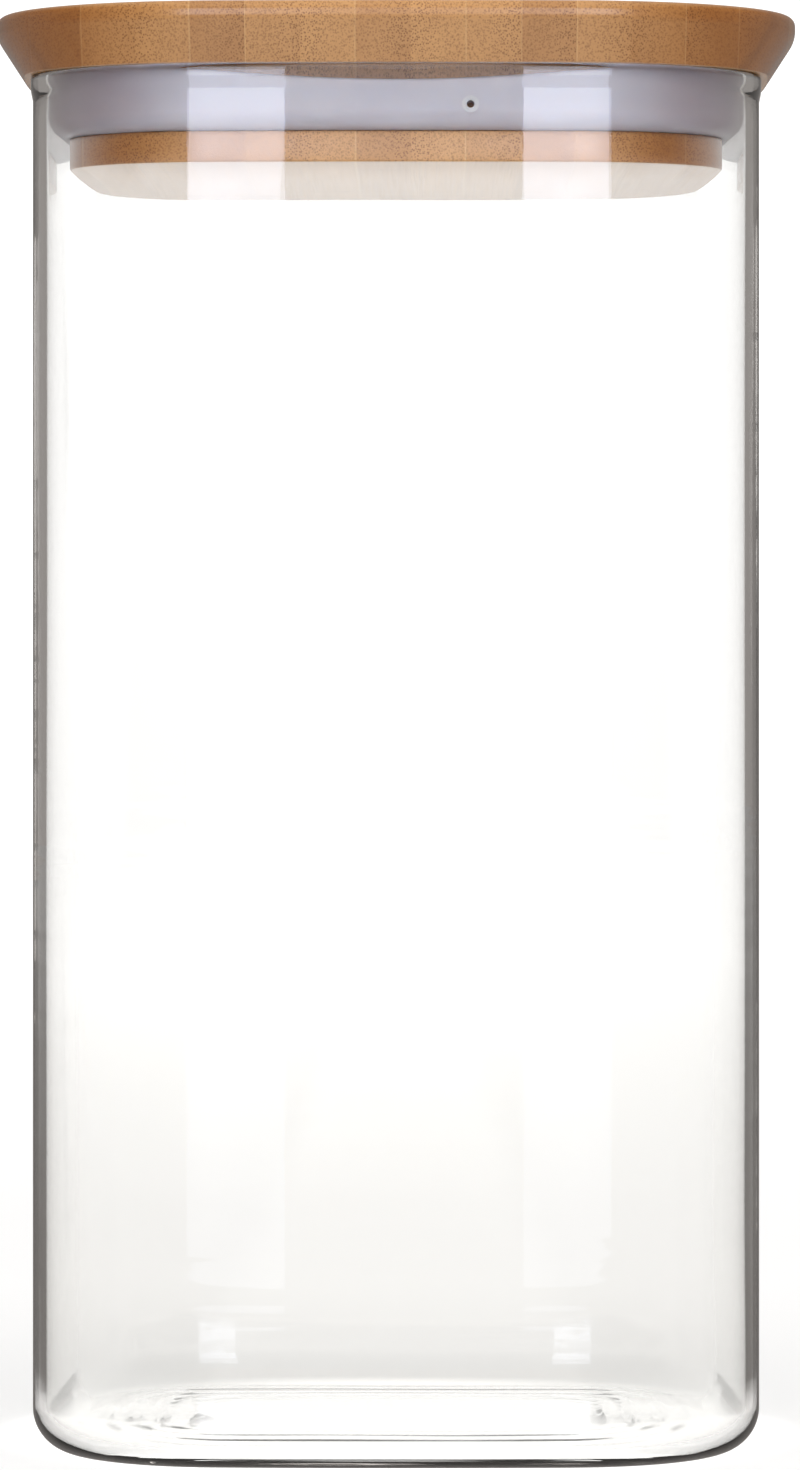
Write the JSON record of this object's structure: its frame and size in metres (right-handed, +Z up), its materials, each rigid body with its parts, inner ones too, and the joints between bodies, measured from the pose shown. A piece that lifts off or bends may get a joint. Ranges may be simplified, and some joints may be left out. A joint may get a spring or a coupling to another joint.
{
  "type": "lidded glass canister",
  "caption": "Tall clear square glass storage jar with rounded corners and a plain lift-off bamboo lid whose plug carries a silicone seal ring.",
  "frame": {"origin": "on the table, under the middle of the jar", "axes": "+Z up, through the jar's middle; the bamboo's glue seams run along Y; the front, with the seal's pinhole, faces -Y"},
  "size_m": [0.1098, 0.1098, 0.195],
  "materials": {
    "glass": "clear, polished",
    "bamboo": "sanded, clear matte lacquer",
    "silicone": "translucent, satin"
  },
  "bodies": {
    "jar": {"glass_jar": "glass"},
    "lid": {"lid_strip_01": "bamboo", "lid_strip_02": "bamboo", "lid_strip_03": "bamboo", "lid_strip_04": "bamboo", "lid_strip_05": "bamboo", "lid_strip_06": "bamboo", "lid_strip_07": "bamboo", "lid_strip_08": "bamboo", "lid_strip_09": "bamboo", "lid_strip_10": "bamboo", "lid_strip_11": "bamboo", "lid_strip_12": "bamboo", "lid_strip_13": "bamboo", "lid_strip_14": "bamboo", "lid_strip_15": "bamboo", "seal_ring": "silicone"}
  },
  "joints": [
    {"name": "lid_lift", "type": "slide", "parent": "jar", "child": "lid", "axis": [0, 0, 1], "range_m": [0, 0.05]}
  ]
}
